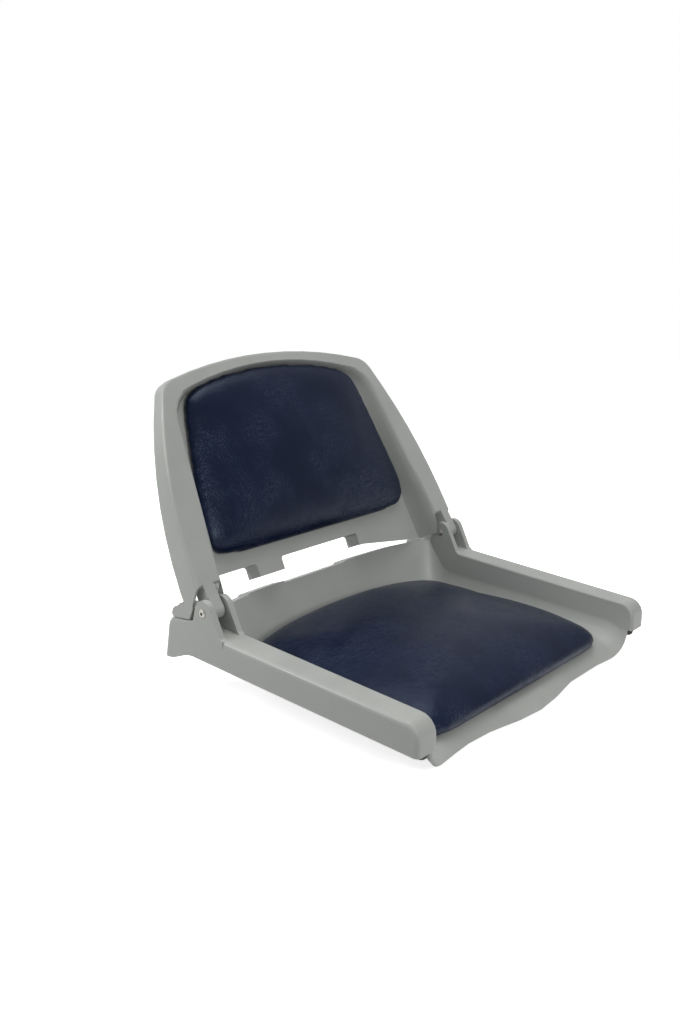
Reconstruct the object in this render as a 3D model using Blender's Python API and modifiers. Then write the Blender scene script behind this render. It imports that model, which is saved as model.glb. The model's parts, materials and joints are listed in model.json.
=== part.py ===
"""Folding boat seat, modelled in metres.

A moulded seat shell with two hollow side rails carries a moulded backrest on two rivets.
Each shell holds a vinyl pad with foam on a board, screwed on from behind. The front points
to -Y and +Z is up. The origin is the middle of the mounting face underneath.
"""
import math

import bmesh
import bpy
from mathutils import Matrix, Vector

# Driving dimensions
HALF_WIDTH = 0.2515
SEAT_FRONT_Y = -0.2085
PIN_Y = 0.106
PIN_Z = 0.113
BACK_TOP = 0.312
BACK_LEAN = math.radians(28.8)
BOLT_SPACING = 0.127

# Walls, clearances and how finely curves are stepped
WALL = 0.003
GAP = 0.0003
OVERRUN = 0.02
ROUND_STEPS = 20
SIDE_STEPS = 8
CORNER_STEPS = 4
TOP_STEPS = 5
SMOOTH_ANGLE = math.radians(40)
FLAT_ANGLE = math.radians(1)

# Hinge
PIN_RADIUS = 0.003
PIN_FLANGE_RADIUS = 0.0055
PIN_FLANGE_RIM_RADIUS = 0.0044
PIN_FLANGE_THICKNESS = 0.0012
PIN_HEAD_RADIUS = 0.0048
PIN_HEAD_HEIGHT = 0.0024
PIN_BORE_RADIUS = 0.0019
PIN_BORE_DEPTH = 0.008
EAR_THICKNESS = 0.008
EAR_RADIUS = 0.014
EAR_BEHIND_PIN = -0.001
EAR_ABOVE_PIN = 0.0015
EAR_FRONT_REACH = 0.0283
EAR_REAR_REACH = 0.0175
EAR_ROOT = 0.009
EAR_FILLET = 0.005
EAR_PROUD = -0.0002
KNUCKLE_RADIUS = 0.011
SPACER_RADIUS = 0.0065
OUTER_SPACER = 0.001
INNER_SPACER = 0.0025
EAR_CENTRE_Y = PIN_Y + EAR_BEHIND_PIN
EAR_CENTRE_Z = PIN_Z + EAR_ABOVE_PIN
EAR_FRONT_Y = PIN_Y - EAR_FRONT_REACH
EAR_REAR_Y = PIN_Y + EAR_REAR_REACH

# Side rails and the blocks behind the hinges
RAIL_WIDTH = 0.0365
RAIL_TOP_AHEAD = 0.026
RAIL_TOP_BELOW = 0.026
RAIL_SLOPE = 0.052
RAIL_HEIGHT = 0.0355
RAIL_TAPER = 0.0045
RAIL_OUTER_ROUND = 0.006
RAIL_INNER_ROUND = 0.0035
NOSE_RADIUS = 0.020
BLOCK_RISE = 0.0133
BLOCK_SLOPE = 0.13
BLOCK_STEP = 0.004
BLOCK_LENGTH = 0.0605
BLOCK_DRAFT = 0.0115
BLOCK_RADIUS = 0.014
BLOCK_FOOT_DROP = 0.0460
BLOCK_FOOT_LENGTH = 0.010
BLOCK_NECK = 0.0035
NOSE_Y = SEAT_FRONT_Y
RAIL_INNER_X = HALF_WIDTH - RAIL_WIDTH
RAIL_TOP_AT_Y = PIN_Y - RAIL_TOP_AHEAD
RAIL_TOP_Z = PIN_Z - RAIL_TOP_BELOW
BLOCK_FRONT_Y = EAR_REAR_Y
BLOCK_REAR_Y = BLOCK_FRONT_Y + BLOCK_LENGTH
BLOCK_NECK_Y = BLOCK_FRONT_Y + BLOCK_NECK
BLOCK_TOP_Z = RAIL_TOP_Z + BLOCK_RISE
BLOCK_FOOT_Z = RAIL_TOP_Z - BLOCK_FOOT_DROP
EAR_OUTER_FROM = HALF_WIDTH - EAR_THICKNESS
EAR_INNER_TO = RAIL_INNER_X + EAR_THICKNESS
KNUCKLE_OUTER_X = EAR_OUTER_FROM - OUTER_SPACER - 2 * GAP
KNUCKLE_INNER_X = EAR_INNER_TO + INNER_SPACER + 2 * GAP

# Seat pan
PAN_FLOOR_Z = 0.0195
PAN_SIDE_RUN = 0.036
PAN_SIDE_POWER = 2.6
PAN_SIDE_LAP = 0.015
PAN_EMBED = 0.0015
PAN_REAR_RUN = 0.040
PAN_BEHIND_PIN = 0.053
PAN_REAR_BOW = 0.033
PAN_REAR_POWER = 1.6
RIM_RISE = 0.0075
RIM_SIDE_RISE = 0.0045
RIM_STEP = 0.0025
RIM_FLANGE = 0.022
RIM_FLANGE_DROP = 0.008
RIM_LIP = 0.008
RIM_RAMP = 0.003
RIM_LEFT_SHARES = (-0.619, -0.288)
RIM_RIGHT_SHARE = 0.265
LIP_START = 0.0385
LIP_CENTRE = 0.0045
LIP_VALLEY = 0.0195
LIP_END = 0.0070
LIP_END_RISE = 0.0040
LIP_VALLEY_SHARE = 0.563
LIP_POWER = 1.3
LIP_CURL = 1.5
LIP_EDGE_Z = 0.0024
PAN_REAR_Y = PIN_Y + PAN_BEHIND_PIN
RIM_Z = RAIL_TOP_Z + RIM_RISE
RIM_RAISED_LEFT_FROM, RIM_RAISED_LEFT_TO = (share * RAIL_INNER_X for share in RIM_LEFT_SHARES)
RIM_RAISED_RIGHT_FROM = RIM_RIGHT_SHARE * RAIL_INNER_X
LIP_START_Y = SEAT_FRONT_Y + LIP_START
LIP_CENTRE_Y = SEAT_FRONT_Y + LIP_CENTRE
LIP_VALLEY_Y = SEAT_FRONT_Y + LIP_VALLEY
LIP_END_Y = SEAT_FRONT_Y + LIP_END
LIP_VALLEY_X = LIP_VALLEY_SHARE * RAIL_INNER_X

# Mounting well, with its four threaded inserts, and the front bumpers
WELL_MARGIN = 0.0315
WELL_CORNER = 0.015
INSERT_RADIUS = 0.005
INSERT_BORE = 0.0032
INSERT_LENGTH = 0.011
BOSS_RADIUS = 0.0105
BOSS_BELOW_FLOOR = 0.005
BUMPER_FROM_NOSE = 0.0115
BUMPER_FROM_RAIL_SIDE = 0.0115
BUMPER_RADIUS = 0.007
BUMPER_HEIGHT = 0.010
BUMPER_STEM_RADIUS = 0.003
BUMPER_STEM_LENGTH = 0.012
BUMPER_BOSS_RADIUS = 0.0065
BUMPER_BARREL_SHARE = 0.55
BUMPER_TIP_SHARE = 0.4
WELL_HALF = BOLT_SPACING / 2 + WELL_MARGIN
BOSS_HEIGHT = PAN_FLOOR_Z - BOSS_BELOW_FLOOR
BUMPER_X = RAIL_INNER_X + BUMPER_FROM_RAIL_SIDE
BUMPER_Y = NOSE_Y + BUMPER_FROM_NOSE

# Backrest shell: heights run up its front face from the hinge, depths run back from it
FACE_AHEAD_OF_PIN = 0.007
BACK_SIDE_CLEARANCE = 0.0005
BACK_NARROWING = 0.040
BACK_NARROWING_POWER = 2.22
BACK_NARROWING_BELOW_TOP = 0.075
BACK_CORNER_BELOW_TOP = 0.038
BACK_CORNER_RADIUS = 0.025
BACK_EDGE_ROUND = 0.006
FLANGE_DEPTH = 0.0345
FLANGE_DEPTH_LOSS = 0.019
FLANGE_POWER = 1.6
BAND_WIDTH = 0.0325
BAND_TOP_WIDTH = 0.0145
CREASE_SLOPE = 0.112
CREASE_CORNER_BELOW_TOP = 0.0665
CREASE_CORNER_RADIUS = 0.052
RECESS_WALL = 0.0135
RECESS_TOP_WALL = 0.004
PANEL_SIDE_SLOPE = 0.130
PANEL_CORNER_BELOW_TOP = 0.0595
PANEL_CORNER_RADIUS = 0.046
PANEL_BEHIND_FLANGE = 0.0065
PANEL_SLOPE = 0.085
PANEL_LOW_EDGE = 0.0225
PANEL_LOW_AT_HINGE = 0.002
BEAM_DEPTH = 0.024
BEAM_SLOPE = 0.27
NOTCH_TOP = 0.040
NOTCH_ROUND = 0.004
CENTRE_NOTCH_SHARE = 0.366
SIDE_NOTCH_SHARES = (-0.912, -0.585)
CLEVIS_SIDE_CLEARANCE = 0.00225
STOP_LUG_WIDTH = 0.020
STOP_LUG_FRONT_INSET = 0.0065
STOP_LUG_REAR_INSET = 0.0210
STOP_LUG_HEIGHT = 0.0155
LEG_INSET = 0.0006
LEG_TOP_BEHIND_PIN = 0.0095
LEG_TOP_ABOVE_PIN = 0.029
BACK_HALF_WIDTH = HALF_WIDTH - BACK_SIDE_CLEARANCE
BACK_CORNER_HEIGHT = BACK_TOP - BACK_CORNER_BELOW_TOP
BACK_NARROWING_HEIGHT = BACK_TOP - BACK_NARROWING_BELOW_TOP
CREASE_HALF_WIDTH = BACK_HALF_WIDTH - BAND_WIDTH
CREASE_TOP = BACK_TOP - BAND_TOP_WIDTH
CREASE_CORNER_HEIGHT = CREASE_TOP - CREASE_CORNER_BELOW_TOP
PANEL_HALF_WIDTH = CREASE_HALF_WIDTH - RECESS_WALL
PANEL_TOP = CREASE_TOP - RECESS_TOP_WALL
PANEL_CORNER_HEIGHT = PANEL_TOP - PANEL_CORNER_BELOW_TOP
PANEL_DEPTH = FLANGE_DEPTH + PANEL_BEHIND_FLANGE
CENTRE_NOTCH_TO = CENTRE_NOTCH_SHARE * PANEL_HALF_WIDTH
CENTRE_NOTCH_FROM = -CENTRE_NOTCH_TO
SIDE_NOTCH_FROM, SIDE_NOTCH_TO = (share * PANEL_HALF_WIDTH for share in SIDE_NOTCH_SHARES)
PANEL_LOW_FLAT = CENTRE_NOTCH_TO + WALL
STOP_LUG_FRONT_Y = BLOCK_FRONT_Y + STOP_LUG_FRONT_INSET
STOP_LUG_REAR_Y = BLOCK_REAR_Y - STOP_LUG_REAR_INSET
LEG_TOP_Y = PIN_Y + LEG_TOP_BEHIND_PIN
LEG_TOP_Z = PIN_Z + LEG_TOP_ABOVE_PIN

# Pads
COVER_THICKNESS = 0.0012
SEAT_BOARD = 0.009
BACK_BOARD = 0.006
BOARD_INSET = 0.012
COVER_WRAP = 0.022
PAD_ROLL = 0.010
FOAM_EASE = 0.0008
SEAT_PAD_FRONT_MARGIN = 0.0285
SEAT_PAD_SIDE_MARGIN = 0.024
SEAT_PAD_FRONT_EDGE = 0.018
SEAT_PAD_EDGE = 0.029
SEAT_PAD_REAR_EDGE = 0.047
SEAT_PAD_RAMP = 0.080
SEAT_PAD_CROWN = 0.053
BACK_PAD_SIDE_MARGIN = 0.018
BACK_PAD_LOW_MARGIN = 0.026
BACK_PAD_TOP_MARGIN = 0.005
BACK_PAD_EDGE = 0.014
BACK_PAD_CROWN = 0.030
SEAT_PAD_FRONT_Y = SEAT_FRONT_Y + SEAT_PAD_FRONT_MARGIN
SEAT_PAD_REAR_Y = PAN_REAR_Y - PAN_REAR_RUN
SEAT_PAD_HALF_WIDTH = RAIL_INNER_X - SEAT_PAD_SIDE_MARGIN
BACK_PAD_LOW = NOTCH_TOP + BACK_PAD_LOW_MARGIN
BACK_PAD_TOP = PANEL_TOP - BACK_PAD_TOP_MARGIN
BACK_PAD_HALF_WIDTH = PANEL_HALF_WIDTH - BACK_PAD_SIDE_MARGIN

# Screws that hold the pads
SCREW_RADIUS = 0.002
SCREW_HEAD_RADIUS = 0.0045
SCREW_HEAD_HEIGHT = 0.0022
SEAT_SCREW_REACH = 0.009
BACK_SCREW_REACH = 0.006
SEAT_SCREW_SHARE = 0.365
SEAT_SCREW_REAR_SHARE = 0.26
SEAT_SCREW_FRONT_INSET = 0.040
SEAT_SCREW_REAR_INSET = 0.059
BACK_SCREW_SHARE = 0.588
BACK_SCREW_LOW_INSET = 0.039
BACK_SCREW_HIGH_INSET = 0.0535
BACK_BOSS_RADIUS = 0.010
BACK_BOSS_HEIGHT = 0.004
SEAT_SCREW_X = WELL_HALF + SEAT_SCREW_SHARE * (SEAT_PAD_HALF_WIDTH - WELL_HALF)
SEAT_SCREW_REAR_X = WELL_HALF + SEAT_SCREW_REAR_SHARE * (SEAT_PAD_HALF_WIDTH - WELL_HALF)
SEAT_SCREW_FRONT_Y = SEAT_PAD_FRONT_Y + SEAT_SCREW_FRONT_INSET
SEAT_SCREW_REAR_Y = SEAT_PAD_REAR_Y - SEAT_SCREW_REAR_INSET
BACK_SCREW_X = BACK_SCREW_SHARE * BACK_PAD_HALF_WIDTH
BACK_SCREW_LOW = BACK_PAD_LOW + BACK_SCREW_LOW_INSET
BACK_SCREW_HIGH = BACK_PAD_TOP - BACK_SCREW_HIGH_INSET

SIDES = (-1, 1)

GREY = (0.47, 0.49, 0.48)
NAVY = (0.020, 0.028, 0.065)


def clear_scene():
    for item in list(bpy.data.objects):
        bpy.data.objects.remove(item, do_unlink=True)


def new_collection(name):
    collection = bpy.data.collections.new(name)
    bpy.context.scene.collection.children.link(collection)
    return collection


def new_material(name, colour, roughness, metallic=0.0):
    material = bpy.data.materials.new(name)
    material.use_nodes = True
    shader = material.node_tree.nodes["Principled BSDF"]
    shader.inputs["Base Color"].default_value = (*colour, 1.0)
    shader.inputs["Roughness"].default_value = roughness
    shader.inputs["Metallic"].default_value = metallic
    return material


def new_object(name, mesh, parts):
    item = bpy.data.objects.new(name, mesh)
    parts.objects.link(item)
    return item


def settle(item):
    """Apply an object's modifiers."""
    graph = bpy.context.evaluated_depsgraph_get()
    graph.update()
    mesh = bpy.data.meshes.new_from_object(item.evaluated_get(graph))
    item.modifiers.clear()
    item.data = mesh


def weld(item):
    shape = bmesh.new()
    shape.from_mesh(item.data)
    bmesh.ops.remove_doubles(shape, verts=shape.verts, dist=GAP / 10)
    bmesh.ops.recalc_face_normals(shape, faces=shape.faces)
    shape.to_mesh(item.data)
    shape.free()


def from_bmesh(name, shape, parts):
    mesh = bpy.data.meshes.new(name)
    shape.to_mesh(mesh)
    shape.free()
    return new_object(name, mesh, parts)


def combine(target, tool, operation):
    modifier = target.modifiers.new(operation.title(), "BOOLEAN")
    modifier.operation = operation
    modifier.solver = "EXACT"
    modifier.object = tool
    settle(target)
    bpy.data.objects.remove(tool, do_unlink=True)


def finish(item, material):
    """Give a finished piece its material and shade its round faces smooth."""
    item.data.materials.clear()
    item.data.materials.append(material)
    item.data.shade_smooth()
    item.data.set_sharp_from_angle(angle=SMOOTH_ANGLE)
    item.data.name = item.name


def grid_mesh(name, rows, parts, closed=False):
    """Loft a surface through rows of points, each row with as many points."""
    shape = bmesh.new()
    lines = [[shape.verts.new(point) for point in row] for row in rows]
    count = len(rows[0])
    for low, high in zip(lines, lines[1:]):
        for i in range(count if closed else count - 1):
            j = (i + 1) % count
            corners = (low[i], low[j], high[j], high[i])
            shape.faces.new(corners)
    bmesh.ops.remove_doubles(shape, verts=shape.verts, dist=GAP / 10)
    return from_bmesh(name, shape, parts)


def thicken(item, thickness, offset):
    modifier = item.modifiers.new("Wall", "SOLIDIFY")
    modifier.thickness = thickness
    modifier.offset = offset
    settle(item)


def arc(centre, radius, start, end, steps):
    """Points of an arc in a plane, with its angles in degrees."""
    points = []
    for i in range(steps + 1):
        angle = math.radians(start + (end - start) * i / steps)
        points.append((centre[0] + radius * math.cos(angle), centre[1] + radius * math.sin(angle)))
    return points


def plate(name, outline, thickness, matrix, parts):
    """A flat outline with a thickness, centred on the plane that the matrix gives."""
    curve = bpy.data.curves.new(name, "CURVE")
    curve.dimensions = "2D"
    curve.fill_mode = "BOTH"
    curve.extrude = thickness / 2
    spline = curve.splines.new("POLY")
    spline.points.add(len(outline) - 1)
    for point, place in zip(spline.points, outline):
        point.co = (place[0], place[1], 0, 1)
    spline.use_cyclic_u = True
    guide = new_object(name + "_outline", curve, parts)
    guide.matrix_world = matrix
    bpy.context.view_layer.update()
    graph = bpy.context.evaluated_depsgraph_get()
    mesh = bpy.data.meshes.new_from_object(guide.evaluated_get(graph))
    shape = bmesh.new()
    shape.from_mesh(mesh)
    bmesh.ops.remove_doubles(shape, verts=shape.verts, dist=GAP / 10)
    bmesh.ops.recalc_face_normals(shape, faces=shape.faces)
    shape.transform(guide.matrix_world)
    bpy.data.objects.remove(guide, do_unlink=True)
    return from_bmesh(name, shape, parts)


def side_matrix(x):
    """Turns an outline drawn in (Y, Z) so that it stands across X."""
    columns = Matrix(((0, 0, 1, 0), (1, 0, 0, 0), (0, 1, 0, 0), (0, 0, 0, 1)))
    return Matrix.Translation((x, 0, 0)) @ columns


def side_plate(name, outline, x_from, x_to, parts):
    middle = (x_from + x_to) / 2
    return plate(name, outline, abs(x_to - x_from), side_matrix(middle), parts)


def box(name, low, high, parts, matrix=None, corner=0.0):
    """A box between two corners, with its edges along local Z rounded."""
    shape = bmesh.new()
    bmesh.ops.create_cube(shape, size=1.0)
    for vert in shape.verts:
        share = [vert.co[i] + 0.5 for i in range(3)]
        vert.co = Vector([low[i] + (high[i] - low[i]) * share[i] for i in range(3)])
    if corner > 0:
        upright = [e for e in shape.edges if abs(e.verts[0].co.z - e.verts[1].co.z) > GAP]
        bmesh.ops.bevel(shape, geom=upright, offset=corner, segments=4, profile=0.5, affect="EDGES")
    if matrix is not None:
        shape.transform(matrix)
    bmesh.ops.recalc_face_normals(shape, faces=shape.faces)
    return from_bmesh(name, shape, parts)


def cylinder(name, radius, low, high, matrix, parts, steps=ROUND_STEPS):
    """A cylinder along local Z between two heights."""
    shape = bmesh.new()
    bmesh.ops.create_cone(shape, cap_ends=True, segments=steps, radius1=radius,
                          radius2=radius, depth=high - low)
    shape.transform(matrix @ Matrix.Translation((0, 0, (low + high) / 2)))
    return from_bmesh(name, shape, parts)


def turned(name, profile, parts, steps=ROUND_STEPS):
    """A solid turned about Z, from a profile that runs down its outer side."""
    shape = bmesh.new()
    verts = [shape.verts.new((radius, 0, height)) for radius, height in profile]
    for a, b in zip(verts, verts[1:]):
        shape.edges.new((a, b))
    item = from_bmesh(name, shape, parts)
    screw = item.modifiers.new("Turn", "SCREW")
    screw.axis = "Z"
    screw.steps = steps
    screw.render_steps = steps
    screw.use_merge_vertices = True
    screw.merge_threshold = GAP / 10
    settle(item)
    weld(item)
    return item


def x_axis_at(y, z, side=1):
    """A frame at the hinge height whose local Z runs outwards along X."""
    return Matrix.Translation((0, y, z)) @ Matrix.Rotation(side * math.pi / 2, 4, "Y")


def rail_top(y):
    return RAIL_TOP_Z + RAIL_SLOPE * (y - RAIL_TOP_AT_Y)


def rail_bottom(y):
    return rail_top(y) - RAIL_HEIGHT


def block_top(y):
    return BLOCK_TOP_Z - BLOCK_SLOPE * (y - BLOCK_FRONT_Y)


def rail_underside(inset, drop):
    """The lower line of a rail from the nose to the rear foot."""
    rear_y = BLOCK_REAR_Y - inset
    foot_y = rear_y - BLOCK_FOOT_LENGTH
    neck_z = rail_bottom(BLOCK_NECK_Y)
    points = [(NOSE_Y + inset, rail_bottom(NOSE_Y) - drop)]
    bend_steps = 6
    for i in range(bend_steps + 1):
        share = i / bend_steps
        fall = (1 - math.cos(math.pi * share)) / 2
        y = BLOCK_NECK_Y + (foot_y - BLOCK_NECK_Y) * share
        points.append((y, neck_z + (BLOCK_FOOT_Z - neck_z) * fall - drop))
    points.append((rear_y, BLOCK_FOOT_Z - drop))
    return points


def rail_topside(inset):
    """The upper line of a rail from the block's rear face to the nose."""
    rear_y = BLOCK_REAR_Y - BLOCK_DRAFT - inset
    radius = BLOCK_RADIUS - inset
    points = arc((rear_y - radius, block_top(rear_y - radius) - inset - radius), radius, 13, 84, 5)
    points.append((BLOCK_FRONT_Y + inset, block_top(BLOCK_FRONT_Y) - inset))
    step_y = BLOCK_FRONT_Y - BLOCK_STEP + inset
    points.append((step_y, rail_top(step_y) - inset))
    nose = NOSE_RADIUS - inset
    nose_y = NOSE_Y + inset + nose
    points += arc((nose_y, rail_top(nose_y) - inset - nose), nose, 90, 180, 6)
    return points


def round_rail_edges(item):
    """Round the edges of both side faces, outer ones more than inner ones."""
    shape = bmesh.new()
    shape.from_mesh(item.data)
    bmesh.ops.dissolve_limit(shape, angle_limit=FLAT_ANGLE, verts=shape.verts, edges=shape.edges)
    for face_x, radius in ((HALF_WIDTH, RAIL_OUTER_ROUND), (RAIL_INNER_X, RAIL_INNER_ROUND)):
        chosen = []
        for edge in shape.edges:
            flush = all(abs(abs(v.co.x) - face_x) < GAP for v in edge.verts)
            if flush and edge.calc_face_angle(0) > math.radians(45):
                chosen.append(edge)
        bmesh.ops.bevel(shape, geom=chosen, offset=radius, segments=3, profile=0.5,
                        affect="EDGES", clamp_overlap=True)
    shape.to_mesh(item.data)
    shape.free()


def below_rail():
    """The space under a rail, to cut its underside level."""
    low = -OVERRUN
    front = NOSE_Y - OVERRUN
    rear = BLOCK_REAR_Y + OVERRUN
    line = rail_underside(0, 0)
    return [(rear, low), (rear, BLOCK_FOOT_Z)] + list(reversed(line)) + [(front, line[0][1]), (front, low)]


def taper_rail(item):
    """Draw the outer side in towards the nose."""
    length = RAIL_TOP_AT_Y - NOSE_Y
    for vert in item.data.vertices:
        share = max(0.0, (RAIL_TOP_AT_Y - vert.co.y) / length)
        across = (abs(vert.co.x) - RAIL_INNER_X) / RAIL_WIDTH
        vert.co.x -= math.copysign(RAIL_TAPER * share * across, vert.co.x)


def ear_outline():
    """One ear of the clevis, rooted in the rail and in the block behind it."""
    front_z = rail_top(EAR_FRONT_Y)
    toe_y = EAR_FRONT_Y - EAR_FILLET
    points = [(toe_y, front_z - EAR_ROOT), (toe_y, rail_top(toe_y) - GAP)]
    points += arc((toe_y, front_z + EAR_FILLET), EAR_FILLET, 285, 345, 3)
    points += arc((EAR_CENTRE_Y, EAR_CENTRE_Z), EAR_RADIUS, 160, 18, 9)
    points.append((EAR_REAR_Y, BLOCK_TOP_Z - GAP))
    points.append((EAR_REAR_Y + EAR_ROOT, BLOCK_TOP_Z - EAR_ROOT))
    points.append((EAR_REAR_Y, front_z - EAR_ROOT))
    return list(reversed(points))


def make_rail(side, parts):
    """A hollow rail with its rear block and clevis ears, open underneath."""
    outside = rail_underside(0, OVERRUN) + rail_topside(0)
    rail = side_plate("rail", outside, side * RAIL_INNER_X, side * HALF_WIDTH, parts)
    round_rail_edges(rail)
    reach = OVERRUN / 2
    below = side_plate("below", below_rail(), side * (RAIL_INNER_X - reach), side * (HALF_WIDTH + reach),
                       parts)
    combine(rail, below, "DIFFERENCE")
    hollow_line = rail_underside(WALL, OVERRUN) + rail_topside(WALL)
    hollow = side_plate("hollow", hollow_line, side * (RAIL_INNER_X + WALL),
                        side * (HALF_WIDTH - WALL), parts)
    taper_rail(rail)
    taper_rail(hollow)
    combine(rail, hollow, "DIFFERENCE")
    ears = ((RAIL_INNER_X - EAR_PROUD, EAR_INNER_TO), (EAR_OUTER_FROM, HALF_WIDTH + EAR_PROUD))
    for x_from, x_to in ears:
        ear = side_plate("ear", ear_outline(), side * x_from, side * x_to, parts)
        combine(rail, ear, "UNION")
    hole = cylinder("pin_hole", PIN_RADIUS + GAP, RAIL_INNER_X - OVERRUN, HALF_WIDTH + OVERRUN,
                    x_axis_at(PIN_Y, PIN_Z, side), parts)
    combine(rail, hole, "DIFFERENCE")
    return rail


def rim_height(x):
    """The crest of the pan's rear wall, with its two raised stretches."""
    plain = RIM_Z + RIM_SIDE_RISE * (x / RAIL_INNER_X) ** 2
    left_in = (x - RIM_RAISED_LEFT_FROM) / RIM_RAMP
    left_out = (RIM_RAISED_LEFT_TO - x) / RIM_RAMP
    right_in = (x - RIM_RAISED_RIGHT_FROM) / RIM_RAMP
    raised = max(min(left_in, left_out), right_in)
    return plain - RIM_STEP * (1 - min(1.0, max(0.0, raised)))


def rim_y(x):
    return PAN_REAR_Y - PAN_REAR_BOW * (abs(x) / RAIL_INNER_X) ** 4


def wall_y(x):
    """Where the rear wall begins to rise from the floor."""
    return rim_y(x) - PAN_REAR_RUN


def lip_side_share(x):
    """How far a place is from the lip's valley towards a rail."""
    return max(0.0, (abs(x) - LIP_VALLEY_X) / (RAIL_INNER_X - LIP_VALLEY_X))


def lip_y(x):
    """The wavy front edge of the pan in plan."""
    reach = abs(x) / LIP_VALLEY_X
    if reach <= 1:
        return LIP_VALLEY_Y + (LIP_CENTRE_Y - LIP_VALLEY_Y) * (1 + math.cos(math.pi * reach)) / 2
    return LIP_VALLEY_Y + (LIP_END_Y - LIP_VALLEY_Y) * lip_side_share(x) ** LIP_POWER


def lip_z(x):
    """The height of the lip's edge, a little higher next to the rails."""
    return LIP_EDGE_Z + LIP_END_RISE * lip_side_share(x)


def side_rise(x, y):
    """How far the pan has risen towards a rail."""
    into = abs(x) - (RAIL_INNER_X - PAN_SIDE_RUN)
    if into <= 0:
        return 0.0
    height = rail_bottom(max(y, LIP_START_Y)) + PAN_SIDE_LAP - PAN_FLOOR_Z
    share = min(1.0, into / PAN_SIDE_RUN)
    return height * (1 - (1 - share ** PAN_SIDE_POWER) ** (1 / PAN_SIDE_POWER))


def pan_point(x, y):
    """A point of the pan's upper face between the lip and the crest of the rear wall."""
    full = rim_height(x) - PAN_FLOOR_Z
    share = max(0.0, (y - wall_y(x)) / PAN_REAR_RUN)
    rear = (rim_height(x) - PAN_FLOOR_Z) * share ** PAN_REAR_POWER
    z = PAN_FLOOR_Z + rear + side_rise(x, y) * (1 - rear / full)
    if y < LIP_START_Y:
        ahead = (LIP_START_Y - y) / (LIP_START_Y - lip_y(x))
        z -= (PAN_FLOOR_Z - lip_z(x)) * ahead ** LIP_CURL
    return Vector((x, y, z))


def pan_columns():
    """Places across the pan, closer together where it turns up and where the rim steps."""
    side_steps = 7
    flat = RAIL_INNER_X - PAN_SIDE_RUN
    flat_shares = (0, 0.22, 0.5, 0.88)
    half = [flat * share for share in flat_shares]
    half += [flat + PAN_SIDE_RUN * math.sin(math.pi / 2 * i / side_steps) for i in range(side_steps)]
    half.append(RAIL_INNER_X + PAN_EMBED)
    columns = sorted({round(side * x, 5) for x in half for side in SIDES})
    steps = (RIM_RAISED_LEFT_FROM, RIM_RAISED_LEFT_FROM + RIM_RAMP, RIM_RAISED_LEFT_TO - RIM_RAMP,
             RIM_RAISED_LEFT_TO, RIM_RAISED_RIGHT_FROM, RIM_RAISED_RIGHT_FROM + RIM_RAMP)
    return sorted(columns + list(steps))


def make_pan(parts):
    """The pan: wavy front lip, floor, rear wall, and a flange turned down behind its rim."""
    columns = pan_columns()
    lip_shares = (1, 0.75, 0.5, 0.25)
    floor_shares = (0, 0.35, 0.7, 1)
    wall_shares = (0.2, 0.36, 0.52, 0.68, 0.84, 1)
    rows = []
    for share in lip_shares:
        rows.append([pan_point(x, LIP_START_Y + (lip_y(x) - LIP_START_Y) * share) for x in columns])
    for share in floor_shares:
        rows.append([pan_point(x, LIP_START_Y + (wall_y(x) - LIP_START_Y) * share) for x in columns])
    for share in wall_shares:
        rows.append([pan_point(x, wall_y(x) + PAN_REAR_RUN * share) for x in columns])
    crest = rows[-1]
    rows.append([point + Vector((0, RIM_FLANGE, -RIM_FLANGE_DROP)) for point in crest])
    rows.append([point + Vector((0, RIM_FLANGE, -RIM_FLANGE_DROP - RIM_LIP)) for point in crest])
    pan = grid_mesh("seat_shell", rows, parts)
    thicken(pan, WALL, -1)
    return pan


def add_well(shell, parts):
    """The mounting well under the floor, with a boss for each threaded insert."""
    outer = box("well", (-WELL_HALF, -WELL_HALF, 0), (WELL_HALF, WELL_HALF, PAN_FLOOR_Z - GAP),
                parts, corner=WELL_CORNER)
    combine(shell, outer, "UNION")
    inner_half = WELL_HALF - WALL
    inner = box("well_inside", (-inner_half, -inner_half, WALL),
                (inner_half, inner_half, PAN_FLOOR_Z + OVERRUN), parts, corner=WELL_CORNER - WALL)
    combine(shell, inner, "DIFFERENCE")
    for x in (-BOLT_SPACING / 2, BOLT_SPACING / 2):
        for y in (-BOLT_SPACING / 2, BOLT_SPACING / 2):
            place = Matrix.Translation((x, y, 0))
            combine(shell, cylinder("boss", BOSS_RADIUS, WALL / 2, BOSS_HEIGHT, place, parts), "UNION")
            combine(shell, cylinder("insert_hole", INSERT_RADIUS + GAP, -OVERRUN, OVERRUN * 2, place,
                                    parts), "DIFFERENCE")


def add_bumper_bosses(shell, parts):
    for side in SIDES:
        place = Matrix.Translation((side * BUMPER_X, BUMPER_Y, 0))
        low = rail_bottom(BUMPER_Y)
        boss = cylinder("bumper_boss", BUMPER_BOSS_RADIUS, low, rail_top(BUMPER_Y), place, parts)
        nose_line = rail_underside(WALL / 2, OVERRUN) + rail_topside(WALL / 2)
        nose = side_plate("nose", nose_line, side * RAIL_INNER_X, side * HALF_WIDTH, parts)
        combine(boss, nose, "INTERSECT")
        combine(shell, boss, "UNION")
        hole = cylinder("bumper_hole", BUMPER_STEM_RADIUS + GAP, low - OVERRUN,
                        low + BUMPER_STEM_LENGTH + 2 * GAP, place, parts)
        combine(shell, hole, "DIFFERENCE")


def seat_screw_places():
    front = [(side * SEAT_SCREW_X, SEAT_SCREW_FRONT_Y) for side in SIDES]
    rear = [(side * SEAT_SCREW_REAR_X, SEAT_SCREW_REAR_Y) for side in SIDES]
    return front + rear


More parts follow.
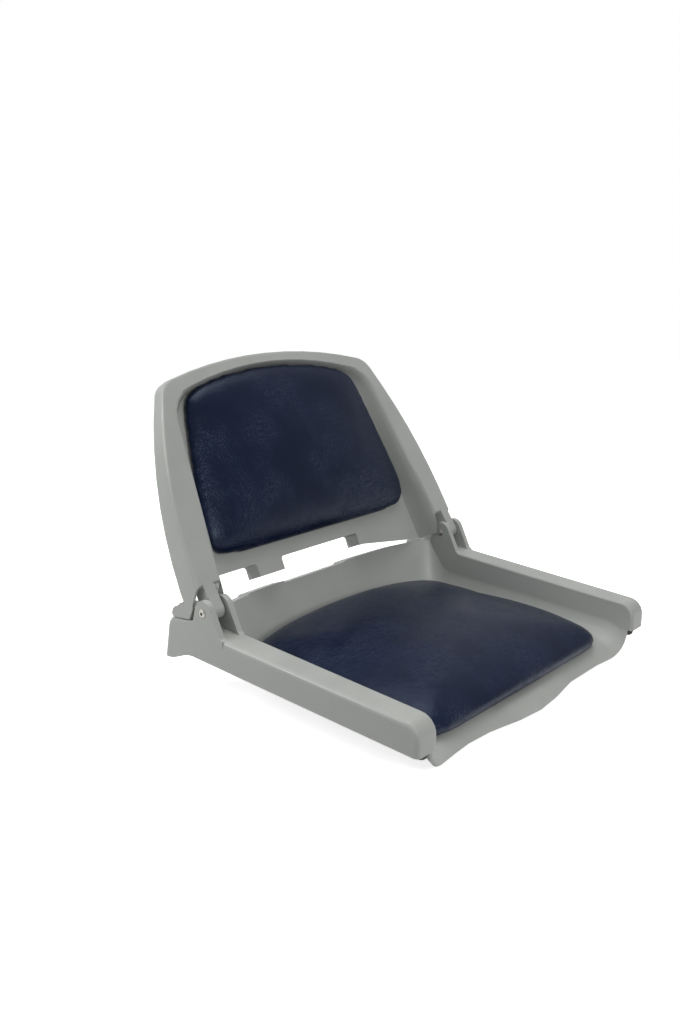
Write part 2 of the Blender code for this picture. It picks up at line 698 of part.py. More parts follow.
def make_seat_shell(parts):
    shell = make_pan(parts)
    for side in SIDES:
        combine(shell, make_rail(side, parts), "UNION")
    add_well(shell, parts)
    add_bumper_bosses(shell, parts)
    for x, y in seat_screw_places():
        place = Matrix.Translation((x, y, 0))
        hole = cylinder("screw_hole", SCREW_RADIUS + GAP, 0, 2 * OVERRUN, place, parts)
        combine(shell, hole, "DIFFERENCE")
    return shell


def back_matrix():
    """The backrest's own frame at the pins: X across, Y up its front face, Z forwards."""
    up = Vector((0, math.sin(BACK_LEAN), math.cos(BACK_LEAN)))
    forward = Vector((0, -math.cos(BACK_LEAN), math.sin(BACK_LEAN)))
    turn = Matrix(((1, 0, 0), (0, up.y, forward.y), (0, up.z, forward.z))).to_4x4()
    start = Vector((0, PIN_Y, PIN_Z)) + forward * FACE_AHEAD_OF_PIN
    return Matrix.Translation(start) @ turn


def back_width(height):
    share = max(0.0, height) / BACK_NARROWING_HEIGHT
    return BACK_HALF_WIDTH - BACK_NARROWING * share ** BACK_NARROWING_POWER


def crease_width(height):
    return CREASE_HALF_WIDTH - CREASE_SLOPE * height


def panel_width(height):
    return PANEL_HALF_WIDTH - PANEL_SIDE_SLOPE * height


def panel_depth(height):
    return max(WALL / 2, PANEL_DEPTH - PANEL_SLOPE * height)


def flange_depth(height):
    return FLANGE_DEPTH - FLANGE_DEPTH_LOSS * (max(0.0, height) / BACK_TOP) ** FLANGE_POWER


def panel_low_edge(x):
    """The lower edge of the back panel, which falls away towards the hinges."""
    side_share = max(0.0, abs(x) - PANEL_LOW_FLAT) / (RAIL_INNER_X - PANEL_LOW_FLAT)
    return PANEL_LOW_EDGE - (PANEL_LOW_EDGE - PANEL_LOW_AT_HINGE) * side_share


def back_outline(width, corner_height, radius, top):
    """Half of an outline of the backrest: up one side, round the corner, along the top."""
    slope = (width(corner_height - radius / 4) - width(corner_height)) / (radius / 4)
    lean = math.atan(slope)
    end_angle = math.radians(80)
    side = Vector((width(corner_height), corner_height))
    centre = side - radius * Vector((math.cos(lean), math.sin(lean)))
    points = [Vector((width(corner_height * i / SIDE_STEPS), corner_height * i / SIDE_STEPS))
              for i in range(SIDE_STEPS)]
    for i in range(CORNER_STEPS + 1):
        angle = lean + (end_angle - lean) * i / CORNER_STEPS
        points.append(centre + radius * Vector((math.cos(angle), math.sin(angle))))
    last = points[-1].copy()
    for i in range(1, TOP_STEPS + 1):
        share = 1 - i / TOP_STEPS
        points.append(Vector((last.x * share, top - (top - last.y) * share * share)))
    return points


def section(outer, crease, panel):
    """Points across the side of the backrest, from the flange's rear edge to the panel."""
    inward = (crease - outer).normalized()
    depth = flange_depth(outer.y)
    edge = BACK_EDGE_ROUND
    near = edge * (1 - math.cos(math.pi / 4))
    places = [(outer, -depth), (outer, -(depth + edge) / 2), (outer, -edge),
              (outer + inward * near, -near), (outer + inward * edge, 0)]
    wall_shares = ((0, 0), (0.28, 0.10), (0.52, 0.42), (0.74, 0.80), (1, 1))
    fall = panel_depth(panel.y)
    for across, down in wall_shares:
        places.append((crease + (panel - crease) * across, -fall * down))
    return [Vector((flat.x, flat.y, depth_at)) for flat, depth_at in places]


def panel_rows(panel):
    """The panel's own rows, from its lower edge up to its arched top."""
    side = panel[:SIDE_STEPS + CORNER_STEPS + 1]
    last = side[-1]

    def arch(x):
        return PANEL_TOP - (PANEL_TOP - last.y) * (x / last.x) ** 2

    rows = []
    for edge in side:
        low = panel_low_edge(edge.x)
        share = (edge.y - low) / (arch(edge.x) - low)
        row = []
        for j in range(TOP_STEPS + 1):
            x = edge.x * j / TOP_STEPS
            height = panel_low_edge(x) * (1 - share) + arch(x) * share
            row.append(Vector((x, height, -panel_depth(height))))
        rows.append(row)
    return rows


def make_back_surface(parts):
    """Half of the backrest's face, side flange and recessed panel, mirrored and thickened."""
    outer = back_outline(back_width, BACK_CORNER_HEIGHT, BACK_CORNER_RADIUS, BACK_TOP)
    crease = back_outline(crease_width, CREASE_CORNER_HEIGHT, CREASE_CORNER_RADIUS, CREASE_TOP)
    panel = back_outline(panel_width, PANEL_CORNER_HEIGHT, PANEL_CORNER_RADIUS, PANEL_TOP)
    low = panel_low_edge(panel[0].x)
    panel[0] = Vector((panel_width(low), low))
    shape = bmesh.new()

    def add_grid(rows):
        lines = [[shape.verts.new(point) for point in row] for row in rows]
        for a, b in zip(lines, lines[1:]):
            for i in range(len(a) - 1):
                shape.faces.new((a[i], b[i], b[i + 1], a[i + 1]))

    add_grid([section(o, c, p) for o, c, p in zip(outer, crease, panel)])
    front = panel_rows(panel)
    beam = [[point + Vector((0, BEAM_SLOPE * back, -back)) for point in front[0]]
            for back in (BEAM_DEPTH, BEAM_DEPTH / 2)]
    add_grid([list(reversed(row)) for row in beam + front])
    bmesh.ops.remove_doubles(shape, verts=shape.verts, dist=GAP)
    bmesh.ops.recalc_face_normals(shape, faces=shape.faces)
    item = from_bmesh("back_shell", shape, parts)
    mirror = item.modifiers.new("Mirror", "MIRROR")
    mirror.use_axis[0] = True
    mirror.merge_threshold = GAP / 3
    settle(item)
    face_forward(item)
    thicken(item, WALL, -1)
    item.data.transform(back_matrix())
    return item


def face_forward(item):
    """Turn the faces so that the panel looks forwards."""
    panel_faces = [f for f in item.data.polygons if abs(f.center.x) < PANEL_LOW_FLAT]
    total = sum(f.normal.z * f.area for f in panel_faces if f.center.y > NOTCH_TOP)
    if total < 0:
        item.data.flip_normals()


def panel_matrix():
    """A frame on the panel's front: X across, Y up the panel, Z forwards, origin at height zero."""
    turn = Matrix.Rotation(math.atan(PANEL_SLOPE), 4, "X")
    return back_matrix() @ Matrix.Translation((0, 0, -PANEL_DEPTH)) @ turn


def cut_notches(shell, parts):
    """Two notches in the lower edge, lined by return walls, with a hollow tab between them."""
    place = panel_matrix()
    deep = 3 * BEAM_DEPTH
    frame = box("notch_frame", (SIDE_NOTCH_FROM - WALL, PANEL_LOW_EDGE, -BEAM_DEPTH),
                (CENTRE_NOTCH_TO + WALL, NOTCH_TOP + WALL, -GAP), parts, place)
    combine(shell, frame, "UNION")
    trim = box("tab_trim", (SIDE_NOTCH_FROM, -deep, -deep), (CENTRE_NOTCH_TO, PANEL_LOW_EDGE, deep),
               parts, place)
    combine(shell, trim, "DIFFERENCE")
    pocket = box("tab_pocket", (SIDE_NOTCH_TO + WALL, PANEL_LOW_EDGE + WALL, -deep),
                 (CENTRE_NOTCH_FROM - WALL, NOTCH_TOP, -WALL), parts, place)
    combine(shell, pocket, "DIFFERENCE")
    for x_from, x_to in ((SIDE_NOTCH_FROM, SIDE_NOTCH_TO), (CENTRE_NOTCH_FROM, CENTRE_NOTCH_TO)):
        notch = box("notch", (x_from, -deep, -deep), (x_to, NOTCH_TOP, deep), parts, place, NOTCH_ROUND)
        combine(shell, notch, "DIFFERENCE")


def clear_ears(shell, side, parts):
    """Slots in the backrest's legs that the clevis ears swing through when it folds."""
    lean = math.atan2(LEG_TOP_Y - STOP_LUG_FRONT_Y, LEG_TOP_Z - BLOCK_TOP_Z)
    along = Vector((math.sin(lean), math.cos(lean)))
    low = Vector((STOP_LUG_FRONT_Y, BLOCK_TOP_Z)) - along * OVERRUN
    high = Vector((LEG_TOP_Y, LEG_TOP_Z)) + along * OVERRUN / 4
    ahead = Vector((PIN_Y - 3 * OVERRUN, LEG_TOP_Z - OVERRUN / 2))
    outline = [tuple(low), tuple(high), (high.x - OVERRUN / 8, high.y), tuple(ahead),
               (PIN_Y - 3 * OVERRUN, PIN_Z - 3 * OVERRUN), (STOP_LUG_FRONT_Y, PIN_Z - 3 * OVERRUN)]
    inner_slot = (RAIL_INNER_X - CLEVIS_SIDE_CLEARANCE, KNUCKLE_INNER_X + LEG_INSET)
    outer_slot = (KNUCKLE_OUTER_X - LEG_INSET, HALF_WIDTH + OVERRUN)
    for x_from, x_to in (inner_slot, outer_slot):
        slot = side_plate("ear_slot", outline, side * x_from, side * x_to, parts)
        combine(shell, slot, "DIFFERENCE")


def block_clearance(side, parts):
    """The space over the block behind the hinge, which the backrest keeps out of."""
    low, high = sorted((side * (RAIL_INNER_X - CLEVIS_SIDE_CLEARANCE), side * (HALF_WIDTH + OVERRUN)))
    return box("block_clearance", (low, 0, 0), (high, BLOCK_REAR_Y, BLOCK_TOP_Z + 2 * GAP), parts)


def knuckle_outline():
    """The knuckle round the pin, growing out of the inside of the backrest's side."""
    place = back_matrix()
    upper = [place @ Vector((0, height, depth)) for height, depth in
             ((LEG_TOP_Z - PIN_Z + OVERRUN, -WALL / 2), (LEG_TOP_Z - PIN_Z + OVERRUN, -FLANGE_DEPTH / 2))]
    front, rear = [(point.y, point.z) for point in upper]
    start = math.degrees(BACK_LEAN)
    points = [front, rear]
    points += arc((PIN_Y, PIN_Z), KNUCKLE_RADIUS, -start, -start - 180, 10)
    return points


def add_knuckle(shell, side, parts):
    knuckle = side_plate("knuckle", knuckle_outline(), side * KNUCKLE_INNER_X,
                         side * KNUCKLE_OUTER_X, parts)
    combine(shell, knuckle, "UNION")
    hole = cylinder("pin_hole", PIN_RADIUS + GAP, RAIL_INNER_X - OVERRUN, HALF_WIDTH + OVERRUN,
                    x_axis_at(PIN_Y, PIN_Z, side), parts)
    combine(shell, hole, "DIFFERENCE")


def stop_lug_outline():
    """The leg behind the clevis and the lug that rests on the block."""
    low = block_top(STOP_LUG_REAR_Y) + GAP
    radius = STOP_LUG_HEIGHT / 3
    points = [(STOP_LUG_FRONT_Y, block_top(STOP_LUG_FRONT_Y) + GAP)]
    points += arc((STOP_LUG_REAR_Y - radius, low + radius), radius, -70, 0, 3)
    points += arc((STOP_LUG_REAR_Y - 2 * radius, low + STOP_LUG_HEIGHT - 2 * radius), 2 * radius, 0, 90, 3)
    points.append((STOP_LUG_REAR_Y - STOP_LUG_HEIGHT, low + STOP_LUG_HEIGHT + radius))
    rise = LEG_TOP_Z - BLOCK_TOP_Z
    points.append((STOP_LUG_FRONT_Y + (LEG_TOP_Y - STOP_LUG_FRONT_Y) / 2, low + rise / 2))
    return points


def add_stop_lug(shell, side, parts):
    outer = back_width(0) - GAP
    lug = side_plate("stop_lug", stop_lug_outline(), side * (outer - STOP_LUG_WIDTH), side * outer, parts)
    combine(shell, lug, "UNION")


def back_screw_places():
    return [(side * BACK_SCREW_X, height) for side in SIDES for height in (BACK_SCREW_LOW, BACK_SCREW_HIGH)]


def make_back_shell(parts):
    shell = make_back_surface(parts)
    for side in SIDES:
        clear_ears(shell, side, parts)
        combine(shell, block_clearance(side, parts), "DIFFERENCE")
        add_knuckle(shell, side, parts)
        add_stop_lug(shell, side, parts)
    cut_notches(shell, parts)
    for x, height in back_screw_places():
        place = panel_matrix() @ Matrix.Translation((x, height, 0))
        combine(shell, cylinder("screw_boss", BACK_BOSS_RADIUS, -WALL - BACK_BOSS_HEIGHT, -WALL / 2, place,
                                parts), "UNION")
        combine(shell, cylinder("screw_hole", SCREW_RADIUS + GAP, -OVERRUN, OVERRUN, place, parts),
                "DIFFERENCE")
    return shell


def smooth_outline(half, steps):
    """A closed smooth outline through points given for its right half, front to rear."""
    left = [(-x, y) for x, y in reversed(half) if x > GAP]
    points = [Vector(p) for p in half + left]
    count = len(points)
    result = []
    for i in range(count):
        a, b, c, d = (points[(i + k - 1) % count] for k in range(4))
        for j in range(steps):
            t = j / steps
            result.append((b * 2 + (c - a) * t + (a * 2 - b * 5 + c * 4 - d) * t * t
                           + (b * 3 - a - c * 3 + d) * t * t * t) / 2)
    return result


def pad_outline(shares, half_width, low, high):
    """A pad's outline from shares of its half width and of its length."""
    return smooth_outline([(x * half_width, low + (high - low) * y) for x, y in shares], 2)


def seat_pad_outline():
    shares = ((0, 0), (0.50, 0.002), (0.84, 0.006), (0.935, 0.035), (0.965, 0.12), (1.0, 0.38),
              (1.0, 0.62), (0.995, 0.84), (0.95, 0.935), (0.69, 0.985), (0.33, 1.0), (0, 1.0))
    return pad_outline(shares, SEAT_PAD_HALF_WIDTH, SEAT_PAD_FRONT_Y, SEAT_PAD_REAR_Y)


def back_pad_outline():
    shares = ((0, 0), (0.5, 0.0), (0.87, 0.006), (0.965, 0.035), (1.0, 0.11), (0.985, 0.24),
              (0.915, 0.53), (0.845, 0.81), (0.785, 0.893), (0.64, 0.943), (0.34, 0.985), (0, 1.0))
    return pad_outline(shares, BACK_PAD_HALF_WIDTH, BACK_PAD_LOW, BACK_PAD_TOP)


def seat_edge_height(point):
    """The seat pad's side is low in front and highest in the middle of the rear."""
    front = min(1.0, (point.y - SEAT_PAD_FRONT_Y) / SEAT_PAD_RAMP)
    rear = max(0.0, (point.y - SEAT_PAD_REAR_Y + SEAT_PAD_RAMP) / SEAT_PAD_RAMP)
    middle = 1 - (point.x / SEAT_PAD_HALF_WIDTH) ** 2
    return (SEAT_PAD_FRONT_EDGE + (SEAT_PAD_EDGE - SEAT_PAD_FRONT_EDGE) * front
            + (SEAT_PAD_REAR_EDGE - SEAT_PAD_EDGE) * rear * middle)


def back_edge_height(point):
    """The back pad's edge is as thick all round."""
    return BACK_PAD_EDGE


def inset_outline(outline, distance):
    """Move an outline inwards by a distance."""
    count = len(outline)
    result = []
    for i, point in enumerate(outline):
        along = (outline[(i + 1) % count] - outline[i - 1]).normalized()
        result.append(point + Vector((-along.y, along.x)) * distance)
    return result


def pad_rows(outline, edge_height, crown, inset):
    """Rings of a pad from the edge of its cover underneath, round its side and over its crown."""
    middle = sum(outline, Vector((0, 0))) / len(outline)
    edges = [edge_height(p) for p in outline]
    side_rings = ((PAD_ROLL * 0.6, 0, 1), (0, 0.12, 1), (-PAD_ROLL * 0.2, 0.5, 0),
                  (0, 0.78, -0.5), (PAD_ROLL * 0.55, 0.93, -1))
    rows = []
    for distance, share, way in side_rings:
        rows.append([Vector((p.x, p.y, edge * share + inset * way))
                     for p, edge in zip(inset_outline(outline, distance + inset), edges)])
    top_shares = (0.90, 0.78, 0.58, 0.32)
    for share in top_shares:
        rise = 1 - share ** 2.8
        rows.append([Vector(((p.x - middle.x) * share + middle.x, (p.y - middle.y) * share + middle.y,
                             edge + (crown - edge) * rise - inset))
                     for p, edge in zip(inset_outline(outline, inset), edges)])
    return rows, Vector((middle.x, middle.y, crown - inset))


def close_ring(shape, ring, centre):
    for a, b in zip(ring, ring[1:] + ring[:1]):
        shape.faces.new((a, b, centre))


def pad_shell(name, rows, top, wrap, matrix, parts, closed):
    """A pad's form from its rings: closed underneath for foam, wrapped under and open for a cover."""
    shape = bmesh.new()
    if wrap is not None:
        rows = [wrap] + rows
    lines = [[shape.verts.new(p) for p in row] for row in rows]
    for a, b in zip(lines, lines[1:]):
        for i in range(len(a)):
            j = (i + 1) % len(a)
            shape.faces.new((a[i], a[j], b[j], b[i]))
    close_ring(shape, lines[-1], shape.verts.new(top))
    if closed:
        shape.faces.new(list(reversed(lines[0])))
    bmesh.ops.recalc_face_normals(shape, faces=shape.faces)
    shape.transform(matrix)
    return from_bmesh(name, shape, parts)


def make_pad(prefix, outline, edge_height, crown, board_thickness, matrix, screws, materials, parts):
    """A pad's vinyl cover, its foam and the board that they are stretched over."""
    rows, top = pad_rows(outline, edge_height, crown, 0)
    wrap = [Vector((p.x, p.y, 0)) for p in inset_outline(outline, COVER_WRAP)]
    cover = pad_shell(prefix + "_cover", rows, top, wrap, matrix, parts, False)
    if cover.data.polygons[-1].normal.dot(matrix.to_3x3() @ Vector((0, 0, 1))) < 0:
        cover.data.flip_normals()
    thicken(cover, COVER_THICKNESS, -1)
    skin = COVER_THICKNESS + GAP
    board_low = skin
    board_high = skin + board_thickness
    inner, foam_top = pad_rows(outline, edge_height, crown, skin + FOAM_EASE)
    foam_start = board_high + GAP
    foam_rows = [[Vector((p.x, p.y, max(p.z, foam_start))) for p in row] for row in inner[1:]]
    foam = pad_shell(prefix + "_foam", foam_rows, foam_top, None, matrix, parts, True)
    middle = Matrix.Translation((0, 0, (board_low + board_high) / 2))
    board_line = [tuple(p) for p in inset_outline(outline, BOARD_INSET)]
    board = plate(prefix + "_board", board_line, board_thickness, matrix @ middle, parts)
    for x, y in screws:
        place = matrix @ Matrix.Translation((x, y, 0))
        hole = cylinder("board_hole", SCREW_RADIUS + GAP, -OVERRUN, OVERRUN, place, parts)
        combine(board, hole, "DIFFERENCE")
    finish(cover, materials["vinyl"])
    finish(foam, materials["foam"])
    finish(board, materials["plywood"])


def dome(radius, base, height):
    """The profile of a round head that hangs down from a base line to the axis."""
    points = []
    for i in range(CORNER_STEPS):
        angle = math.pi / 2 * i / CORNER_STEPS
        points.append((radius * math.cos(angle), base - height * math.sin(angle)))
    return points + [(0, base - height)]


def make_screw(name, matrix, length, material, parts):
    """A round-headed screw whose head bears at local height zero, its point upwards."""
    head = dome(SCREW_HEAD_RADIUS, 0, SCREW_HEAD_HEIGHT)
    tip = [(0, length), (SCREW_RADIUS / 2, length - SCREW_RADIUS), (SCREW_RADIUS, length - 2 * SCREW_RADIUS)]
    profile = tip + [(SCREW_RADIUS, 0)] + head
    screw = turned(name, profile, parts, 12)
    screw.data.transform(matrix)
    finish(screw, material)


def make_rivet(name, side, material, parts):
    """The tubular rivet of one hinge: flared outside, domed inside."""
    outer = HALF_WIDTH + EAR_PROUD + GAP
    inner = RAIL_INNER_X - EAR_PROUD - GAP
    flare = outer + PIN_FLANGE_THICKNESS
    bore_end = flare - PIN_BORE_DEPTH
    bore = [(0, bore_end), (PIN_BORE_RADIUS, bore_end), (PIN_BORE_RADIUS, flare)]
    flange = [(PIN_FLANGE_RIM_RADIUS, flare), (PIN_FLANGE_RADIUS, outer), (PIN_RADIUS, outer)]
    profile = bore + flange + [(PIN_RADIUS, inner)] + dome(PIN_HEAD_RADIUS, inner, PIN_HEAD_HEIGHT)
    rivet = turned(name, profile, parts)
    rivet.data.transform(x_axis_at(PIN_Y, PIN_Z, side))
    finish(rivet, material)


def make_spacer(name, side, x_from, thickness, material, parts):
    """A washer round a rivet, between the knuckle and one ear."""
    inner = PIN_RADIUS + GAP
    profile = [(inner, x_from + thickness), (SPACER_RADIUS, x_from + thickness),
               (SPACER_RADIUS, x_from), (inner, x_from), (inner, x_from + thickness)]
    spacer = turned(name, profile, parts)
    spacer.data.transform(x_axis_at(PIN_Y, PIN_Z, side))
    finish(spacer, material)


def make_bumper(name, side, material, parts):
    """A rubber bumper pushed into its boss under the nose of a rail."""
    seat = rail_bottom(BUMPER_Y) - GAP
    tip = BUMPER_RADIUS * BUMPER_TIP_SHARE
    barrel = seat - BUMPER_HEIGHT * BUMPER_BARREL_SHARE
    dome = [(BUMPER_RADIUS, seat), (BUMPER_RADIUS, barrel)]
    for i in range(1, CORNER_STEPS + 1):
        angle = math.pi / 2 * i / CORNER_STEPS
        radius = tip + (BUMPER_RADIUS - tip) * math.cos(angle)
        dome.append((radius, barrel - (BUMPER_HEIGHT + barrel - seat) * math.sin(angle)))
    profile = [(0, seat + BUMPER_STEM_LENGTH), (BUMPER_STEM_RADIUS, seat + BUMPER_STEM_LENGTH),
               (BUMPER_STEM_RADIUS, seat)] + dome + [(0, seat - BUMPER_HEIGHT)]
    bumper = turned(name, profile, parts)
    bumper.data.transform(Matrix.Translation((side * BUMPER_X, BUMPER_Y, 0)))
    finish(bumper, material)


def make_insert(name, x, y, material, parts):
    """A threaded insert, open at both ends, flush with the mounting face."""
    low = GAP
    high = low + INSERT_LENGTH
    profile = [(INSERT_BORE, high), (INSERT_RADIUS, high), (INSERT_RADIUS, low), (INSERT_BORE, low),
               (INSERT_BORE, high)]
    insert = turned(name, profile, parts)
    insert.data.transform(Matrix.Translation((x, y, 0)))
    finish(insert, material)


def make_materials():
    return {
        "grey": new_material("grey_plastic", GREY, 0.45),
        "vinyl": new_material("navy_vinyl", NAVY, 0.5),
        "foam": new_material("foam", (0.80, 0.76, 0.60), 0.95),
        "plywood": new_material("plywood", (0.52, 0.37, 0.21), 0.8),
        "steel": new_material("steel", (0.72, 0.72, 0.70), 0.35, 1.0),
        "brass": new_material("brass", (0.78, 0.60, 0.28), 0.35, 1.0),
        "rubber": new_material("black_rubber", (0.025, 0.024, 0.020), 0.8),
        "nylon": new_material("nylon", (0.30, 0.30, 0.29), 0.6),
    }


def make_hinges(materials, parts):
    for side, word in zip(SIDES, ("left", "right")):
        make_rivet(word + "_hinge_rivet", side, materials["steel"], parts)
        make_spacer(word + "_hinge_outer_washer", side, KNUCKLE_OUTER_X + GAP, OUTER_SPACER,
                    materials["nylon"], parts)
        make_spacer(word + "_hinge_inner_washer", side, EAR_INNER_TO + GAP, INNER_SPACER,
                    materials["nylon"], parts)
        make_bumper(word + "_front_bumper", side, materials["rubber"], parts)


def make_screws(materials, seat_matrix, pad_matrix, parts):
    words = ("front_left", "front_right", "rear_left", "rear_right")
    for (x, y), word in zip(seat_screw_places(), words):
        place = seat_matrix @ Matrix.Translation((x, y, -WALL - 2 * GAP))
        make_screw("seat_pad_screw_" + word, place, SEAT_SCREW_REACH + WALL, materials["steel"], parts)
    words = ("lower_left", "upper_left", "lower_right", "upper_right")
    for (x, height), word in zip(back_screw_places(), words):
        lift = -WALL - BACK_BOSS_HEIGHT - 2 * GAP
        place = pad_matrix @ Matrix.Translation((x, height, lift))
        length = BACK_SCREW_REACH + WALL + BACK_BOSS_HEIGHT
        make_screw("back_pad_screw_" + word, place, length, materials["steel"], parts)


def main():
    clear_scene()
    parts = new_collection("folding_boat_seat")
    materials = make_materials()
    finish(make_seat_shell(parts), materials["grey"])
    finish(make_back_shell(parts), materials["grey"])
    seat_matrix = Matrix.Translation((0, 0, PAN_FLOOR_Z + GAP))
    pad_matrix = panel_matrix() @ Matrix.Translation((0, 0, GAP))
    make_pad("seat_pad", seat_pad_outline(), seat_edge_height, SEAT_PAD_CROWN, SEAT_BOARD, seat_matrix,
             seat_screw_places(), materials, parts)
    make_pad("back_pad", back_pad_outline(), back_edge_height, BACK_PAD_CROWN, BACK_BOARD, pad_matrix,
             back_screw_places(), materials, parts)
    make_hinges(materials, parts)
    make_screws(materials, seat_matrix, pad_matrix, parts)
    half = BOLT_SPACING / 2
    places = ((-half, -half, "front_left"), (half, -half, "front_right"),
              (-half, half, "rear_left"), (half, half, "rear_right"))
    for x, y, word in places:
        make_insert("mounting_insert_" + word, x, y, materials["brass"], parts)


main()
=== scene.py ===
"""Looks of the folding boat seat: moulded grey shells, navy vinyl cushions and their fittings."""
import json
import math

import bmesh
import bpy
from mathutils import Matrix, Vector


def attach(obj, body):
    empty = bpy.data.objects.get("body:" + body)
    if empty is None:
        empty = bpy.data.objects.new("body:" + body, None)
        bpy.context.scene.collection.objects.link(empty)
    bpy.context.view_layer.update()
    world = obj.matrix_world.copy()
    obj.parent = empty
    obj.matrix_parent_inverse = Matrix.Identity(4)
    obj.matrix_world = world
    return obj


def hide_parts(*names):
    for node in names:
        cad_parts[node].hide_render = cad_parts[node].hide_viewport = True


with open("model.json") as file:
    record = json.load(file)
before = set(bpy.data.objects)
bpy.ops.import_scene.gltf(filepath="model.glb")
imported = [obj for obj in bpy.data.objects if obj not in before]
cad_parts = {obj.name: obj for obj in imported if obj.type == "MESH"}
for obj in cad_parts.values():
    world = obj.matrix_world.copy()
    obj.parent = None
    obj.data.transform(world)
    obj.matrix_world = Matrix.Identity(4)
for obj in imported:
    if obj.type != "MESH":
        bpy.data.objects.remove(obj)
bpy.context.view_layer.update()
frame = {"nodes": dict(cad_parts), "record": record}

MM = 0.001

# Camera, from the photograph's perspective
CAMERA_PLACE = Vector((-0.9578, -0.7424, 0.5214))
CAMERA_AZIMUTH = math.radians(-48.15)
CAMERA_ELEVATION = math.radians(14.66)
CAMERA_LENS = 35.0

# Copies of the CAD meshes: corners nearer than this are one, faces flatter than this are one
WELD = 0.01 * MM
FLAT_ANGLE = math.radians(0.5)

# Mouldings: their rounded edges, and the angle up to which faces are shaded as one
EDGE_RADIUS = 0.9 * MM
EDGE_ANGLE = math.radians(38)
EDGE_SEGMENTS = 2
SMOOTH_ANGLE = math.radians(40)

# Cushions: the directions in which they stand out from the seat and from the backrest's panel
SEAT_UP = Vector((0, 0, 1))
PANEL_FORWARD = Vector((0, -0.9140, 0.4058))

# A cover's outer faces are told from its inner ones by a core that lies this far towards the rim
# from the middle, and this share of the cover's height above its underside
CORE_REACH = 0.85
CORE_HEIGHT = 0.25

# The cushions' mesh, how full they start and how far the cloth may move from there
CUSHION_VOXEL = 4.5 * MM
CUSHION_START_GROW = 6.0 * MM
CUSHION_SWELL = 6.0 * MM
UNDERSIDE_HOLD = 3.0 * MM
EVENED_BEFORE = 9
EVENED_AFTER = 6
EVENING = 0.5

# Cloth pressure
CUSHION_PRESSURE = 4.0
CUSHION_FRAMES = 20
CLOTH_QUALITY = 4
CLOTH_MASS = 0.4
CLOTH_STRETCH = 25
CLOTH_BENDING = 30

# How far a cushion reaches past its cover's place: at each side, at the front or lower end and
# at the rear or upper end
SEAT_CUSHION_SPARE = (3.0 * MM, 0.5 * MM, 4.5 * MM)
BACK_CUSHION_SPARE = (3.0 * MM, 4.0 * MM, 4.5 * MM)

# Finishes, as plain colours (linear)
GREY = (0.446, 0.462, 0.438)
GREY_DUSTY = (0.520, 0.528, 0.500)
NAVY = (0.0048, 0.0092, 0.0285)
# NAVY_PALE is both the paler tone of the vinyl's slow patches and the colour of its painted crease
# highlight
NAVY_PALE = (0.0130, 0.0250, 0.0650)
VINYL_SHEEN = (0.66, 0.78, 1.0)
RUBBER = (0.020, 0.019, 0.016)
NYLON = (0.330, 0.345, 0.335)
STEEL = (0.400, 0.388, 0.360)
BRASS = (0.640, 0.460, 0.200)
BIRCH = (0.480, 0.330, 0.190)
WHITE = (1.0, 1.0, 1.0)

# The darker or paler second tone of a finish, as a share of its colour
GREY_SHADE = 0.93
METAL_SHADE = 0.72
RUBBER_SHADE = 2.4
NYLON_SHADE = 0.8
BIRCH_SHADE = 0.55

# Roughness; a range runs from a mottled face's low to its high patches
GREY_ROUGHNESS = (0.36, 0.46)
VINYL_ROUGHNESS = (0.20, 0.28)
STEEL_ROUGHNESS = (0.42, 0.57)
BRASS_ROUGHNESS = (0.32, 0.47)
RUBBER_ROUGHNESS = 0.72
NYLON_ROUGHNESS = 0.5
BIRCH_ROUGHNESS = 0.75
VINYL_SPECULAR = 0.25

# Patterns: how many of their cells go into a metre
GREY_STIPPLE = 900.0
GREY_MOTTLE = 14.0
NYLON_STIPPLE = 1600.0
NYLON_MOTTLE = 120.0
VINYL_PEBBLES = 420.0
VINYL_CREASES = 48.0

# How strongly marks and dust show, and how strongly the vinyl's creases are paled as a painted
# highlight
SCUFFING = 0.25
GREY_DUST = 0.35
RUBBER_DUST = 0.5
VINYL_MOTTLING = 0.35
VINYL_CREASE_PAINTED_HIGHLIGHT = 0.35

# Vinyl grain: the pebbles' height as a share of the creases' depth, how far from its edge a
# pebble rises, how wide a crease is (both as shares of a cell) and the warp of the pattern (m)
PEBBLE_HEIGHT = 0.32
PEBBLE_FLANK = 0.22
CREASE_WIDTH = 0.07
GRAIN_WARP = 0.006
# The two networks of creases: turn, stretch and how much finer each is than VINYL_CREASES
CREASE_NETS = (((0.3, 0.1, 0.5), (1.0, 3.4, 3.4), 1.0),
               ((0.2, 0.1, -0.6), (3.4, 1.0, 1.6), 1.5))

# How deep the fine relief of each finish is, and how strongly it shows
GREY_RELIEF = 0.12 * MM
VINYL_RELIEF = 0.26 * MM
METAL_RELIEF = 0.03 * MM
RUBBER_RELIEF = 0.15 * MM
NYLON_RELIEF = 0.05 * MM
BIRCH_RELIEF = 0.20 * MM
RELIEF_STRENGTH = 0.5
VINYL_STRENGTH = 0.9

# Floor: its size and place, the colour that is seen, the one that it throws back and its glow
FLOOR_SIZE = 14.0
FLOOR_DROP = 0.5 * MM
FLOOR_ROUGHNESS = 0.9
FLOOR = (0.93, 0.93, 0.93)
FLOOR_BOUNCE = (0.25, 0.25, 0.25)
FLOOR_GLOW = 0.76

# Room: the strength of its light, and of its image in glossy faces
ROOM_LIGHT = 0.26
ROOM_MIRRORED = 0.45

# Soft lights: name, place, target, size (m), power (W) and whether glossy faces mirror them
SOFTBOXES = (
    ("left_softbox", (-1.00, 0.85, 0.98), (-0.15, 0.22, 0.20), 0.7, 10.5, True),
    ("top_softbox", (0.15, 0.10, 1.90), (0, -0.05, 0), 1.2, 12.5, True),
    ("front_softbox", (-0.35, -1.55, 0.85), (0, -0.10, 0.10), 0.5, 8, True),
    ("right_fill", (1.45, 0.10, 0.40), (0.15, 0, 0.12), 0.7, 5, False),
    ("rear_fill", (0.20, 1.65, 0.45), (0, 0.15, 0.15), 0.7, 5, False),
)


# Objects


